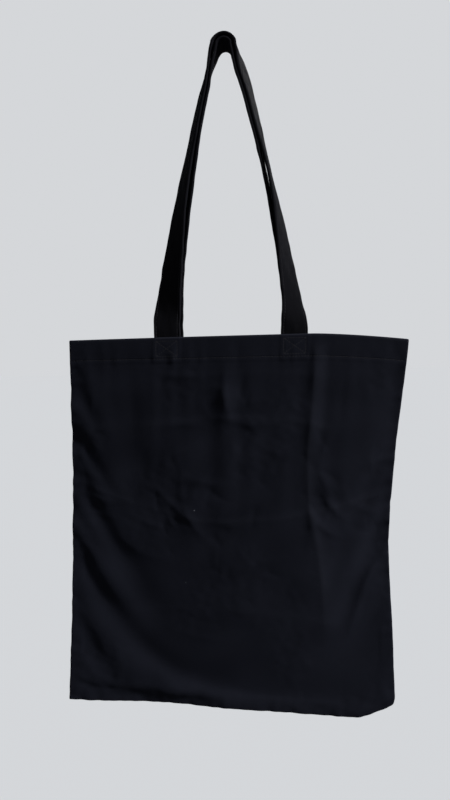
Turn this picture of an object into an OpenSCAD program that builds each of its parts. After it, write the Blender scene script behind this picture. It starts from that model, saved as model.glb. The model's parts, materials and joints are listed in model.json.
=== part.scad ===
// Canvas tote bag, hanging empty by its two handles from a hook.
// Millimetres. +Z is up, +X runs along the mouth and the front faces -Y.
// The origin is the point where the hook bears, under the crown of the inner handle.

/* [Body] */
// Width of the bag along its mouth
body_w = 350; // [320:5:380]
// Height of the bag from the mouth to the bottom seam, at its middle
body_h = 396; // [360:2:430]
// Thickness of one layer of canvas
canvas_t = 0.8; // [0.6:0.1:1]
// How far the mouth stands open at its middle
mouth_gap = 30; // [28:1:40]
// Depth of the hem that is folded in at the mouth
hem_depth = 25; // [20:1:30]
// Width of the seam allowances inside the bag
allowance_w = 10; // [8:1:12]

/* [Handles] */
// Width of a handle strap
strap_w = 28; // [24:1:30]
// Thickness of a strap, which is canvas folded in four
strap_t = 2.8; // [2.4:0.2:3]
// Distance of each end of a handle from the middle of the loop
strap_x = 65; // [58:1:72]
// Height of the hook above the mouth
drop = 288; // [270:2:310]
// Clear space between the two straps where they lie nested over the hook
nest_gap = 1.8; // [1.6:0.1:2]

/* [Hang] */
// How far the middle of the mouth hangs to the right of the hook
mouth_shift = 4; // [0:1:8]
// How far the bottom hangs to the left of the mouth
lean = 15.5; // [0:0.5:20]
// How far the left side is drawn in at half height
left_pinch = 4; // [0:1:6]
// How far the right side is drawn in at half height
right_pinch = 9; // [0:1:12]
// How far the right end of the mouth droops
right_droop = 8; // [0:1:10]
// How much lower the right end of the bottom hangs than its middle
bottom_slope = 6; // [0:0.5:8]
// How far the bottom sags right of its middle
bottom_sag = 3; // [0:0.5:5]
// How far the right side turns towards the back at half height
turn_back = 24; // [0:1:28]
// Size of the bottom right corner that curls towards the back
curl_depth = 21; // [0:1:28]

/* [Thread] */
// Distance of the hem stitching from the mouth
hem_stitch = 22; // [18:1:24]
// Width of a row of thread
thread_w = 0.6; // [0.5:0.1:0.8]
// Height of a row of thread above the cloth
thread_h = 0.3; // [0.2:0.1:0.4]
// Distance of the strap stitching from the strap's edges
strap_stitch = 3; // [2:0.5:4]

/* [Hidden] */
FRONT = -1;
BACK = 1;
LEFT = -1;
RIGHT = 1;
canvas_colour = "#1b1d24";
lining_colour = "#22242b";
strap_colour = "#17181c";
thread_colour = "#2c2e36";

// Half the distance between the two panels beside the seams, and where they meet
beside_seam = 2.2;
at_seam = 0.45;
// Clear space between cloth and the thread or cloth that lies on it
skin_gap = 0.15;
hem_t = 2 * canvas_t;
// How far the hem and its stitching reach from the middle towards the side seams
hem_reach = 0.97;
// Distance of a box stitch from the strap's edges, from the mouth and from the hem stitching
box_edge = 3;
box_top = 4;
box_above_hem_stitch = 2.5;
// Radius of the curl at the bottom right corner
curl_r = 11;
// Turn of the line along which the corner curls, in degrees from the bottom
curl_turn = 20;
// Columns and rows of a panel's surface
columns = 24;
panel_rows = 20;
// Rings along one leg and over the crown of a handle
leg_rings = 26;
crown_rings = 8;
// The middle of the strap stack over the hook, as a radius, and half the angle that it wraps
crown_r = 10;
crown_angle = 67;
stack_top = strap_t + nest_gap / 2;
// How much closer the two straps of a leg lie a little below the crown,
// and the drops below the hook over which they draw closer and part again
pinch_together = 0.9;
closer_drops = [20, 50];
apart_drops = [85, 115];
// Drops over which they stop lying side by side, and from which they lie one behind the other
aside_drops = [140, 235];
behind_drop = 100;
// How much further inside than its sewn end a strap hangs at the mouth
hang_in = 1.6;
// How strongly a leg leaves the crown and reaches the mouth
crown_pull = 33;
mouth_pull = 60;
// Clear space between a handle and the mouth
mouth_clear = 0.6;
// How far the middle of a strap lies inside the panel's own middle, at the mouth
strap_inset = canvas_t / 2 + hem_t + strap_t / 2 + 2 * skin_gap;
// Twist of each leg: [drop below the hook, degrees turned from facing the front]
left_twist = [
    [0, 90], [22, 80], [40, 71], [60, 70], [90, 68], [120, 65],
    [160, 57], [200, 42], [235, 28], [262, 11], [290, 0]
];
right_twist = [
    [0, 90], [24, 69], [44, 76], [70, 77], [122, 85],
    [150, 81], [185, 69], [225, 57], [262, 42], [290, 6]
];

function lerp(a, b, t) = a + (b - a) * t;
function clamp(x) = min(1, max(0, x));
function ease(a, b, x) = let (t = clamp((x - a) / (b - a))) t * t * (3 - 2 * t);
function fade(ends, x) = ease(ends[0], ends[1], x);
function reversed(list) = [for (i = [len(list) - 1:-1:0]) list[i]];
function flat(lists) = [for (list = lists) each list];

// ---- The hanging shape of the bag ----
// u runs from -1 at the left side seam to 1 at the right, v from 0 at the mouth to 1 at the bottom.

function left_x(v) = mouth_shift - body_w / 2 - lean * v + left_pinch * sin(180 * v);
function right_x(v) = mouth_shift + body_w / 2 - lean * v - right_pinch * pow(sin(180 * v), 1.6);
function mouth_z(u) = -drop - right_droop * pow(max(0, (u - 0.45) / 0.55), 1.4);
function bottom_z(u) = -drop - body_h - bottom_slope * u - bottom_sag * exp(-pow((u - 0.6) / 0.3, 2));

// Half the distance between the middles of the two panels
function half_gap(u, v) =
    let (tuck = max(pow(abs(u), 60), pow(v, 90)))
    let (bow = (mouth_gap / 2 - beside_seam) * (1 - u * u) * pow(1 - v, 0.8))
    lerp(beside_seam + bow, at_seam, tuck);

// How far the middle between the panels lies behind the hook
function middle_y(u, v) = turn_back * ease(0.4, 1, u) * sin(180 * v);

// Turns what lies beyond a slanting line across the bottom right corner round a curl
function curled(p) =
    let (way = [sin(curl_turn), -cos(curl_turn)])
    let (beyond = max(0, curl_depth + [p.x - right_x(1), p.z - bottom_z(1)] * way))
    let (angle = beyond / curl_r * 180 / PI)
    let (r = curl_r - p.y)
    let (slip = r * sin(angle) - beyond)
    [p.x + slip * way.x, curl_r - r * cos(angle), p.z + slip * way.y];

// A point at the given distance outside the middle of a panel; side 0 is midway between the panels
function cloth(side, u, v, out) =
    curled([
        lerp(left_x(v), right_x(v), (u + 1) / 2),
        middle_y(u, v) + side * half_gap(u, v) + (side == 0 ? 1 : side) * out,
        lerp(mouth_z(u), bottom_z(u), v)
    ]);

function depth_v(depth) = depth / body_h;
function u_at(x) = (x - mouth_shift) / (body_w / 2);

// ---- Solids from rings of points ----
// A ring holds the points of one face, and then those of the other face backwards.

function strip_faces(ring, next, count) = [
    for (j = [0:count - 1])
        let (k = (j + 1) % count)
        each [
            [ring * count + j, ring * count + k, next * count + k],
            [ring * count + j, next * count + k, next * count + j]
        ]
];

function cap_faces(ring, count) = [
    for (j = [0:count / 2 - 2])
        let (a = ring * count + j, b = ring * count + count - 1 - j)
        each [[a, b, b - 1], [a, b - 1, a + 1]]
];

module skin(rings, closed = false) {
    count = len(rings[0]);
    last = len(rings) - 1;
    sides = [for (i = [0:closed ? last : last - 1]) each strip_faces(i, (i + 1) % (last + 1), count)];
    start = closed ? [] : cap_faces(0, count);
    end = closed ? [] : [for (face = cap_faces(last, count)) reversed(face)];
    polyhedron(flat(rings), concat(sides, start, end), convexity = 6);
}

// A patch of cloth between two distances outside the middle of a panel
module patch(side, us, vs, low, high) {
    near = side == FRONT ? high : low;
    far = side == FRONT ? low : high;
    skin([
        for (v = vs)
            concat(
                [for (u = us) cloth(side, u, v, near)],
                [for (u = reversed(us)) cloth(side, u, v, far)]
            )
    ]);
}

function even(a, b, count) = [for (i = [0:count]) lerp(a, b, i / count)];
panel_us = [for (i = [0:columns]) sin(lerp(-90, 90, i / columns))];
panel_vs = [for (j = [0:panel_rows]) sin(90 * j / panel_rows)];

// ---- Canvas body ----

module panel(side) {
    color(canvas_colour) patch(side, panel_us, panel_vs, -canvas_t / 2, canvas_t / 2);
}

module hem(side) {
    inner = -canvas_t / 2 - skin_gap;
    color(lining_colour)
        patch(side, even(-hem_reach, hem_reach, 20), even(0, depth_v(hem_depth), 2), inner - hem_t, inner);
}

// How near the seams the allowances reach, and where the thread runs along them
allowance_edge = 0.985;
seam_inset = 3;
side_seam_u = allowance_edge - seam_inset / (body_w / 2);
bottom_seam_v = allowance_edge - depth_v(seam_inset);
side_vs = even(depth_v(hem_depth + 2), 0.92, 16);
bottom_us = even(-0.9, 0.84, 16);

module side_allowance(side) {
    us = [allowance_edge - allowance_w / (body_w / 2), side_seam_u, allowance_edge];
    color(lining_colour)
        patch(0, side == LEFT ? -reversed(us) : us, side_vs, -canvas_t, canvas_t);
}

module bottom_allowance() {
    vs = [allowance_edge - depth_v(allowance_w), bottom_seam_v, allowance_edge];
    color(lining_colour) patch(0, bottom_us, vs, -canvas_t, canvas_t);
}

// ---- Strap ends, sewn inside the hems ----

module strap_end(side, hand) {
    inner = -canvas_t / 2 - hem_t - 2 * skin_gap;
    half = strap_w / body_w;
    middle = u_at(hand * strap_x);
    color(strap_colour)
        patch(side, even(middle - half, middle + half, 4), even(0, depth_v(hem_depth), 2),
            inner - strap_t, inner);
}

// ---- Thread on the cloth ----

// A row of thread through points given as [u, v], on the outer face of a panel
module thread_row(side, points, out, closed = false) {
    last = len(points) - 1;
    facing = side == BACK ? BACK : FRONT;
    half = facing * thread_w / 2;
    low = facing * out;
    high = facing * (out + thread_h);
    skin([
        for (i = [0:last])
            let (before = points[closed ? (i + last) % (last + 1) : max(0, i - 1)])
            let (after = points[closed ? (i + 1) % (last + 1) : min(last, i + 1)])
            let (run = [(after.x - before.x) * body_w / 2, (before.y - after.y) * body_h])
            let (way = run / norm(run))
            let (across = [way.y, 0, -way.x] * half * (closed ? 1.4 : 1))
            let (base = cloth(side, points[i].x, points[i].y, 0))
            [
                base + across + [0, low, 0], base - across + [0, low, 0],
                base - across + [0, high, 0], base + across + [0, high, 0]
            ]
    ], closed);
}

module hem_stitching(side) {
    v = depth_v(hem_stitch);
    color(thread_colour)
        thread_row(side, [for (u = even(-hem_reach, hem_reach, 32)) [u, v]], canvas_t / 2 + skin_gap);
}

// A box with a cross in it, which holds a strap's end to the hem
module box_stitch(side, hand) {
    half = (strap_w / 2 - box_edge) / (body_w / 2);
    middle = u_at(hand * strap_x);
    top = depth_v(box_top);
    low = depth_v(hem_stitch - box_above_hem_stitch);
    a = [middle - half, top];
    b = [middle + half, top];
    c = [middle + half, low];
    d = [middle - half, low];
    start = 0.09;
    crossing = 0.05;
    rows = [
        [lerp(a, c, start), lerp(a, c, 1 - start)],
        [lerp(d, b, start), lerp(d, b, 0.5 - crossing)],
        [lerp(d, b, 0.5 + crossing), lerp(d, b, 1 - start)]
    ];
    out = canvas_t / 2 + skin_gap;
    color(thread_colour) {
        thread_row(side, [a, b, c, d], out, closed = true);
        for (row = rows) thread_row(side, row, out);
    }
}

module side_stitching(side) {
    color(thread_colour)
        thread_row(0, [for (v = side_vs) [side * side_seam_u, v]], canvas_t + skin_gap);
}

module bottom_stitching() {
    color(thread_colour)
        thread_row(0, [for (u = bottom_us) [u, bottom_seam_v]], canvas_t + skin_gap);
}

// ---- Handles ----

// Middle of the strap stack along one leg: k is 0 at the crown and 1 at the mouth
function leg_curve(hand, k) =
    let (s = sin(crown_angle), c = cos(crown_angle))
    let (from = [hand * crown_r * s, stack_top - crown_r + crown_r * c])
    let (to = [hand * strap_x, -drop + mouth_clear])
    let (a = from + crown_pull * [hand * c, -s])
    let (b = to + [0, mouth_pull])
    let (m = 1 - k)
    m * m * m * from + 3 * m * m * k * a + 3 * m * k * k * b + k * k * k * to;

// A station holds the middle of the stack, the way out of the loop, and the straps' twist
function leg_station(hand, k) =
    let (p = leg_curve(hand, k))
    let (step = 0.01)
    let (run = leg_curve(hand, min(1, k + step)) - leg_curve(hand, max(0, k - step)))
    let (way = run / norm(run))
    [[p.x, 0, p.y], [-way.y * hand, 0, way.x * hand], lookup(-p.y, hand == LEFT ? left_twist : right_twist)];

function crown_station(angle) =
    let (way = [sin(angle), 0, cos(angle)])
    [[0, 0, stack_top - crown_r] + crown_r * way, way, 90];

stations = concat(
    [for (i = [leg_rings:-1:1]) leg_station(LEFT, i / leg_rings)],
    [for (i = [0:crown_rings]) crown_station(lerp(-crown_angle, crown_angle, i / crown_rings))],
    [for (i = [1:leg_rings]) leg_station(RIGHT, i / leg_rings)]
);

// The two straps lie one behind the other at the mouth, and side by side or nested higher up
function strap_middle(side, station) =
    let (p = station[0])
    let (low = clamp((-p.z - behind_drop) / (drop - behind_drop)))
    let (apart = (mouth_gap / 2 - strap_inset - hang_in) * pow(low, 1.2))
    let (closer = pinch_together * fade(closer_drops, -p.z) * (1 - fade(apart_drops, -p.z)))
    let (aside = (strap_t + nest_gap - closer) / 2 * (1 - fade(aside_drops, -p.z)))
    p + side * apart * [0, 1, 0] - side * aside * station[1];

// A ring round part of a strap's width, between two distances from its middle surface
function strap_ring(side, station, widths, low, high) =
    let (middle = strap_middle(side, station))
    let (out = station[1], twist = station[2])
    let (across = cos(twist) * out + [0, sin(twist), 0])
    let (face = sin(twist) * out - [0, cos(twist), 0])
    concat(
        [for (w = widths) middle + w * across + high * face],
        [for (w = reversed(widths)) middle + w * across + low * face]
    );

// Distances across a strap at which its surface bends, so that the thread lies flat on it
function thread_widths(edge) =
    let (middle = edge * (strap_w / 2 - strap_stitch))
    [middle - thread_w / 2, middle + thread_w / 2];
strap_widths = concat([-strap_w / 2], thread_widths(LEFT), thread_widths(RIGHT), [strap_w / 2]);

module strap(side) {
    color(strap_colour)
        skin([
            for (station = stations)
                strap_ring(side, station, strap_widths, -strap_t / 2, strap_t / 2)
        ]);
}

// Two rows of thread along each strap, one near each edge, on the face that looks outwards
module strap_stitching(side) {
    low = strap_t / 2 + skin_gap;
    color(thread_colour)
        for (edge = [LEFT, RIGHT])
            skin([
                for (station = stations)
                    strap_ring(side, station, thread_widths(edge),
                        side == FRONT ? low : -low - thread_h, side == FRONT ? low + thread_h : -low)
            ]);
}

panel(FRONT);  // front_panel
panel(BACK);  // back_panel
hem(FRONT);  // front_hem
hem(BACK);  // back_hem
side_allowance(LEFT);  // left_seam_allowance
side_allowance(RIGHT);  // right_seam_allowance
bottom_allowance();  // bottom_seam_allowance
strap_end(FRONT, LEFT);  // front_left_strap_end
strap_end(FRONT, RIGHT);  // front_right_strap_end
strap_end(BACK, LEFT);  // back_left_strap_end
strap_end(BACK, RIGHT);  // back_right_strap_end
hem_stitching(FRONT);  // front_hem_stitching
hem_stitching(BACK);  // back_hem_stitching
box_stitch(FRONT, LEFT);  // front_left_box_stitch
box_stitch(FRONT, RIGHT);  // front_right_box_stitch
box_stitch(BACK, LEFT);  // back_left_box_stitch
box_stitch(BACK, RIGHT);  // back_right_box_stitch
side_stitching(LEFT);  // left_seam_stitching
side_stitching(RIGHT);  // right_seam_stitching
bottom_stitching();  // bottom_seam_stitching
strap(FRONT);  // front_handle_strap
strap_stitching(FRONT);  // front_handle_stitching
strap(BACK);  // back_handle_strap
strap_stitching(BACK);  // back_handle_stitching
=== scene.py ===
"""A black canvas tote bag that hangs empty from both of its handles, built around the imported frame.

Metres. +Z is up, the front faces -Y, and the origin is where the hook bears. A place on the cloth is given
by `across`, its distance to the right of the cloth's middle, and `depth`, its distance below the mouth,
both measured along the flat cloth, and by `out`, its distance outside the middle of the outer layer.
"""

import json
import math

import bpy
import numpy as np
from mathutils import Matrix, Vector


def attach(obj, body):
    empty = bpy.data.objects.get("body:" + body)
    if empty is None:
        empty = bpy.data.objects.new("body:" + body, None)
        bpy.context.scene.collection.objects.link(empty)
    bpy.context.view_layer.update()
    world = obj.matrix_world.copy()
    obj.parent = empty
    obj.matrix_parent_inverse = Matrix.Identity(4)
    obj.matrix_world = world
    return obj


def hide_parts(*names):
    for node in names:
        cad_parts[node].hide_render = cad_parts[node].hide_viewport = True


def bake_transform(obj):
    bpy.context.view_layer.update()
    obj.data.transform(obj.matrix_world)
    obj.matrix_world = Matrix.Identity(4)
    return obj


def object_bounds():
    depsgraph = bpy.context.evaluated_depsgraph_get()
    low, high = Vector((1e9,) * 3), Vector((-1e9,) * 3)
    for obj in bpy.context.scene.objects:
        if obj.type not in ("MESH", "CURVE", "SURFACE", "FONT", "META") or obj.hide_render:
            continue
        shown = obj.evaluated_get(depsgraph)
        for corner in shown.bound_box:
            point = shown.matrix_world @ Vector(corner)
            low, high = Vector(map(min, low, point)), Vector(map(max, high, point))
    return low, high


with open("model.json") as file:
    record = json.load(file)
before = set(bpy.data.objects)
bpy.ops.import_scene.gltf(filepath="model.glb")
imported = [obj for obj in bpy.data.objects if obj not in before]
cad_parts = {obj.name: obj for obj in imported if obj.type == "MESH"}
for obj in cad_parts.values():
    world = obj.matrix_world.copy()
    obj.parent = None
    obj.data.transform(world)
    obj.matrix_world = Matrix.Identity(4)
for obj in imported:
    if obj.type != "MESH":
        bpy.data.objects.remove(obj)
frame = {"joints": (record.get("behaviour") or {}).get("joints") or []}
cad_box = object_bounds()

MM = 0.001
FRONT, BACK = -1, 1
LEFT, RIGHT = -1, 1
SIDES = {"front": FRONT, "back": BACK}
HANDS = {"left": LEFT, "right": RIGHT}

# ---- Sizes, as in the CAD part ----

BODY_W = 350 * MM
BODY_H = 396 * MM
CANVAS_T = 0.8 * MM
MOUTH_GAP = 30 * MM
HEM_DEPTH = 25 * MM
ALLOWANCE_W = 10 * MM
STRAP_W = 28 * MM
STRAP_T = 2.8 * MM
STRAP_X = 65 * MM
NEST_GAP = 1.8 * MM
MOUTH_SHIFT = 4 * MM
LEAN = 15.5 * MM
LEFT_PINCH = 4 * MM
RIGHT_PINCH = 9 * MM
RIGHT_DROOP = 8 * MM
BOTTOM_SLOPE = 6 * MM
BOTTOM_SAG = 3 * MM
TURN_BACK = 24 * MM
CURL_DEPTH = 21 * MM
CURL_R = 11 * MM
CURL_TURN = math.radians(20)
HEM_STITCH = 22 * MM
BOX_EDGE = 3 * MM
BOX_TOP = 4 * MM
BOX_LOW = HEM_STITCH - 2.5 * MM
STRAP_STITCH = 3 * MM
DROP = -frame["joints"][0]["pos_m"][2]

# Half the distance between the panels' outer layers beside a seam, and at the seam itself
BESIDE_SEAM = 2.2 * MM
AT_SEAM = 0.05 * MM
SEAM_R = BESIDE_SEAM - AT_SEAM
SEAM_ARC = SEAM_R * math.pi / 2
HALF_FLAT = BODY_W / 2 + SEAM_ARC - SEAM_R
FLAT_DEPTH = BODY_H + SEAM_ARC - SEAM_R

# The hem is the same cloth turned in twice. Its layers lie this far apart, middle to middle.
LAYER = 0.85 * MM
HEM_INSIDE = -2 * LAYER - CANVAS_T / 2
# Room kept free on each side of the middle between the panels, beside the seam allowances and elsewhere,
# and the distances from a seam over which the one passes into the other
ALLOWANCE_CLEAR = 1.35 * MM
PANEL_CLEAR = 0.15 * MM
PAST_ALLOWANCE = (13 * MM, 18 * MM)
STRAP_OUT = -CANVAS_T / 2 - 2 * CANVAS_T - 0.3 * MM - STRAP_T / 2

CROWN_R = 10 * MM
CROWN_ANGLE = math.radians(67)
STACK_TOP = STRAP_T + NEST_GAP / 2
CROWN_PULL = 33 * MM
MOUTH_PULL = 60 * MM
MOUTH_CLEAR = 0.6 * MM
HANG_IN = 1.6 * MM
# A little closer together, and from higher up, than in the CAD part, so that no light shows between them
PINCH_TOGETHER = 1.2 * MM
CLOSER_DROPS = (8, 26)
APART_DROPS = (85, 115)
ASIDE_DROPS = (140, 235)
BEHIND_DROP = 100
# Twist of each leg: millimetres below the hook, and degrees turned from facing the front
LEG_TWIST = {
    LEFT: [
        (0, 90), (22, 80), (40, 71), (60, 70), (90, 68), (120, 65),
        (160, 57), (200, 42), (235, 28), (262, 11), (290, 0),
    ],
    RIGHT: [
        (0, 90), (24, 69), (44, 76), (70, 77), (122, 85),
        (150, 81), (185, 69), (225, 57), (262, 42), (290, 6),
    ],
}


# ---- Small helpers ----

def lerp(a, b, t):
    return a + (b - a) * t


def ease(a, b, x):
    t = np.clip((x - a) / (b - a), 0, 1)
    return t * t * (3 - 2 * t)


def unit(vectors):
    return vectors / np.maximum(np.linalg.norm(vectors, axis=-1, keepdims=True), 1e-12)


def run_along(path):
    """Distance along a path, at each of its points."""
    return np.concatenate([[0], np.cumsum(np.linalg.norm(np.diff(path, axis=0), axis=1))])


def bell(x, reach):
    return np.exp(-((x / reach) ** 2))


def ridge(x, reach, soft):
    """1 along a crease and falling away beside it, rounded off over the distance `soft`."""
    return np.exp((soft - np.sqrt(x**2 + soft**2)) / reach)


def waves(seed, count, shortest, longest, stretch=(1, 1)):
    """Directions, wave numbers and phases of a smooth random field, the same on every run."""
    rng = np.random.default_rng(seed)
    angle = rng.uniform(0, 2 * math.pi, count)
    number = 2 * math.pi / np.exp(rng.uniform(math.log(shortest), math.log(longest), count))
    weight = rng.uniform(0.5, 1, count)
    return np.cos(angle) * number / stretch[0], np.sin(angle) * number / stretch[1], \
        rng.uniform(0, 2 * math.pi, count), weight / np.sqrt((weight**2).sum() / 2)


def field(made, x, y):
    """Samples a random field of waves(). Its values are mostly between -2 and 2."""
    total = np.zeros(np.broadcast(x, y).shape)
    for kx, ky, phase, weight in zip(*made):
        total += weight * np.sin(kx * x + ky * y + phase)
    return total


# ---- The hanging shape of the bag ----

def left_x(v):
    return MOUTH_SHIFT - BODY_W / 2 - LEAN * v + LEFT_PINCH * np.sin(math.pi * v)


def right_x(v):
    pinch = np.clip(np.sin(math.pi * v), 0, 1) ** 1.6
    return MOUTH_SHIFT + BODY_W / 2 - LEAN * v - RIGHT_PINCH * pinch


def mouth_z(u):
    return -DROP - RIGHT_DROOP * np.maximum(0, (u - 0.45) / 0.55) ** 1.4


def bottom_z(u):
    return -DROP - BODY_H - BOTTOM_SLOPE * u - BOTTOM_SAG * bell(u - 0.6, 0.3)


def seam_turn(distance):
    """Cloth near a seam turns in to meet the other panel: its inset from the seam and share of the gap."""
    turn = np.clip(distance / SEAM_ARC, 0, 1) * math.pi / 2
    inset = SEAM_R * (1 - np.cos(turn)) + np.maximum(distance - SEAM_ARC, 0)
    return inset, np.sin(turn)


def to_seams(across, depth):
    """Distances to the nearer side seam and to the bottom one."""
    return HALF_FLAT - np.abs(across), FLAT_DEPTH - depth


def hanging(side, across, depth):
    """The middle of a panel's outer layer, before the corner curls. Side 0 is midway between the panels."""
    across, depth = np.broadcast_arrays(np.asarray(across, float), np.asarray(depth, float))
    edge, low = to_seams(across, depth)
    inset, share = seam_turn(edge)
    low_inset, low_share = seam_turn(low)
    u = np.sign(across) * (1 - inset / (BODY_W / 2)) * (1 - CANVAS_T / BODY_W)
    v = 1 - low_inset / BODY_H
    share = share * low_share
    bow = (MOUTH_GAP / 2 - BESIDE_SEAM) * (1 - u * u) * np.clip(1 - v, 0, 2) ** 0.8
    half_gap = AT_SEAM + SEAM_R * share + bow
    own = own_relief(side, across, depth) * share if side else 0
    # A panel never sinks so far that it would touch the seam allowances or the other panel
    clear = lerp(ALLOWANCE_CLEAR, PANEL_CLEAR, ease(*PAST_ALLOWANCE, np.minimum(edge, low)))
    room = np.maximum(half_gap - CANVAS_T / 2 - clear, 0.01 * MM)
    own = np.where(own < 0, -room * np.tanh(-own / room), own)
    shift_x, shift_y = seam_wiggle(across, depth)
    x = lerp(left_x(v), right_x(v), (u + 1) / 2) + shift_x
    turned = TURN_BACK * ease(0.4, 1, u) * np.sin(math.pi * np.clip(v, 0, 1))
    y = turned + shared_relief(across, depth) + shift_y + side * (half_gap + own)
    z = lerp(mouth_z(u), bottom_z(u), v) + CANVAS_T / 2 * v
    return np.stack([x, y, z], -1)


def curled(points):
    """Turns what lies beyond a slanting line across the bottom right corner round a curl."""
    x, y, z = np.moveaxis(points, -1, 0)
    way_x, way_z = math.sin(CURL_TURN), -math.cos(CURL_TURN)
    beyond = np.maximum(0, CURL_DEPTH + (x - right_x(np.float64(1))) * way_x + (z - bottom_z(1)) * way_z)
    angle = beyond / CURL_R
    slip = (CURL_R - y) * np.sin(angle) - beyond
    return np.stack([x + slip * way_x, CURL_R - (CURL_R - y) * np.cos(angle), z + slip * way_z], -1)


def outward(side, across, depth):
    """Unit normals that point out of the bag."""
    step = 0.4 * MM
    along = hanging(side, across + step, depth) - hanging(side, across - step, depth)
    down = hanging(side, across, depth + step) - hanging(side, across, depth - step)
    return unit(side * np.cross(along, down))


def on_cloth(side, across, depth, out):
    """Points at the distance `out` outside the middle of a panel's outer layer."""
    across, depth, out = np.broadcast_arrays(*(np.asarray(a, float) for a in (across, depth, out)))
    base = hanging(side, across, depth)
    points = base + outward(side, across, depth) * out[..., None]
    groove = seam_groove(across, depth)
    points[..., 0] -= np.sign(across) * groove[0]
    points[..., 2] += groove[1]
    return curled(points)


def midway(across, depth, back):
    """Points midway between the panels, at the distance `back` behind the middle."""
    across, depth, back = np.broadcast_arrays(*(np.asarray(a, float) for a in (across, depth, back)))
    points = hanging(0, across, depth)
    points[..., 1] += back
    return curled(points)


def seam_groove(across, depth):
    """How far the side and bottom seams sink in between the two panels."""
    return [0.7 * MM * ridge(near, 0.7 * MM, 0.3 * MM) for near in to_seams(across, depth)]


# ---- Folds, creases and puckers ----
# Depths and distances in millimetres here, because they are read against the real bag.

# The vertical crease right of the middle: (depth, how far across it lies there)
TALL_CREASE = [(8, 82), (60, 83), (120, 81), (174, 85), (218, 96), (260, 101), (300, 102)]
# Creases left from folding the bag flat: (height, [(across, depth), ...])
FOLD_CREASES = [
    (1.5, [(-170, 150), (-90, 178), (-20, 192), (60, 186), (120, 172), (172, 158)]),
    (1.3, [(-110, 92), (-40, 84), (10, 82), (70, 86), (110, 96)]),
    (0.7, [(-60, 40), (0, 37), (60, 38), (90, 42)]),
    (0.8, [(-120, 292), (-30, 284), (60, 290), (120, 300)]),
]
# Puckers of the side seams: (depth, height, reach down the seam)
LEFT_PUCKERS = [
    (27, 1.1, 4), (50, -0.8, 7), (74, 2.4, 8), (98, -1.4, 7), (122, 2.2, 7), (144, -1.2, 7),
    (163, 1.9, 7), (180, -1.1, 6), (199, 2.0, 7), (236, -1.0, 9), (262, 0.8, 8), (301, -0.8, 10),
    (340, 0.8, 9), (368, -0.6, 7),
]
RIGHT_PUCKERS = [
    (27, 1.1, 4), (60, 0.9, 9), (104, -1.0, 9), (126, 1.4, 7), (147, 2.2, 7), (171, -2.0, 7),
    (190, 2.3, 7), (214, -1.8, 8), (243, 1.5, 8), (276, -1.0, 9), (312, 1.1, 9), (346, -0.8, 8),
]
# Short soft wrinkles: (across, depth, length, turn in degrees, height, reach)
WRINKLES = [
    (100, 150, 30, 62, 1.5, 4), (108, 172, 28, 50, 1.6, 4), (101, 196, 26, 38, 1.3, 4),
    (96, 120, 24, 100, 1.0, 4), (150, 252, 44, 118, 3.2, 7), (134, 292, 34, 112, 2.2, 7),
    (-8, 62, 36, 82, 1.8, 4), (8, 56, 24, 98, -1.2, 5), (22, 90, 40, 4, 1.5, 5),
    (-52, 90, 34, 176, 1.3, 5), (-54, 40, 34, 2, 1.2, 5), (46, 118, 40, 20, 1.1, 7),
    (-66, 124, 44, 152, 1.2, 7), (-28, 150, 46, 12, 1.2, 6), (-60, 176, 40, 40, 1.4, 5),
    (-84, 196, 30, 18, 1.3, 5), (-38, 196, 36, 55, 1.2, 5), (-96, 226, 52, 24, 0.9, 9),
    (28, 236, 56, 160, 1.1, 8), (30, 170, 40, 150, 1.0, 6), (-140, 170, 34, 14, 1.3, 6),
    (-148, 96, 30, 168, 1.2, 6), (-30, 318, 60, 8, 0.9, 9), (84, 342, 40, 30, 0.9, 8),
    (150, 128, 34, 160, 1.3, 6), (146, 178, 30, 20, 1.2, 6), (60, 20, 16, 88, 0.6, 4),
    (-62, 22, 16, 92, 0.6, 4),
]
# Patches of small sharp crumples: (across, depth, reach across, reach down, how many, height)
CRUMPLED = [
    (0, 66, 46, 26, 16, 0.6), (-44, 178, 46, 32, 22, 0.7), (100, 160, 16, 56, 18, 0.7),
    (20, 246, 50, 34, 14, 0.5), (-150, 150, 16, 70, 12, 0.6), (150, 190, 16, 70, 12, 0.6),
    (30, 130, 40, 30, 12, 0.5),
]
SHARED_SWELL = waves(11, 9, 120 * MM, 260 * MM)
OWN_SWELL = {side: waves(seed, 16, 40 * MM, 130 * MM) for side, seed in ((FRONT, 21), (BACK, 22))}
OWN_RUMPLE = {side: waves(seed, 26, 9 * MM, 30 * MM) for side, seed in ((FRONT, 31), (BACK, 32))}
RUMPLE_PATCHES = waves(41, 8, 70 * MM, 180 * MM)
HEM_RIPPLE = waves(51, 10, 6 * MM, 15 * MM, stretch=(1, 4))
SEAM_RIPPLE = waves(61, 12, 7 * MM, 26 * MM, stretch=(6, 1))
# How much of the simulated settling is kept, and the furthest it takes the cloth
SHARED_SETTLING, OWN_SETTLING = 0.5, 0.42
SETTLING_CAP = 4.5 * MM
# Filled by settle(): for each side, how far the cloth settled outwards, and for side 0 backwards
SETTLED = {}


def crease_at(points, x, low, high):
    """The place of a crease at x, along smooth stretches between its points, and how far it has faded in."""
    xs, ys = zip(*points)
    place = sum(np.interp(x + shift, xs, ys) for shift in (-9, -3, 3, 9)) / 4
    return place, ease(xs[0] - low, xs[0] + low, x) * (1 - ease(xs[-1] - high, xs[-1] + high, x))


def tall_crease(across, depth):
    place, shown = crease_at(TALL_CREASE, depth / MM, 8, 45)
    beside = across / MM - place
    return shown * np.where(beside < 0, ridge(beside, 12, 1.2), 1 - ease(0, 32, beside))


def fold_crease(points, across, depth):
    place, shown = crease_at(points, across / MM, 18, 18)
    return shown * ridge(depth / MM - place, 10, 1.3)


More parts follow.
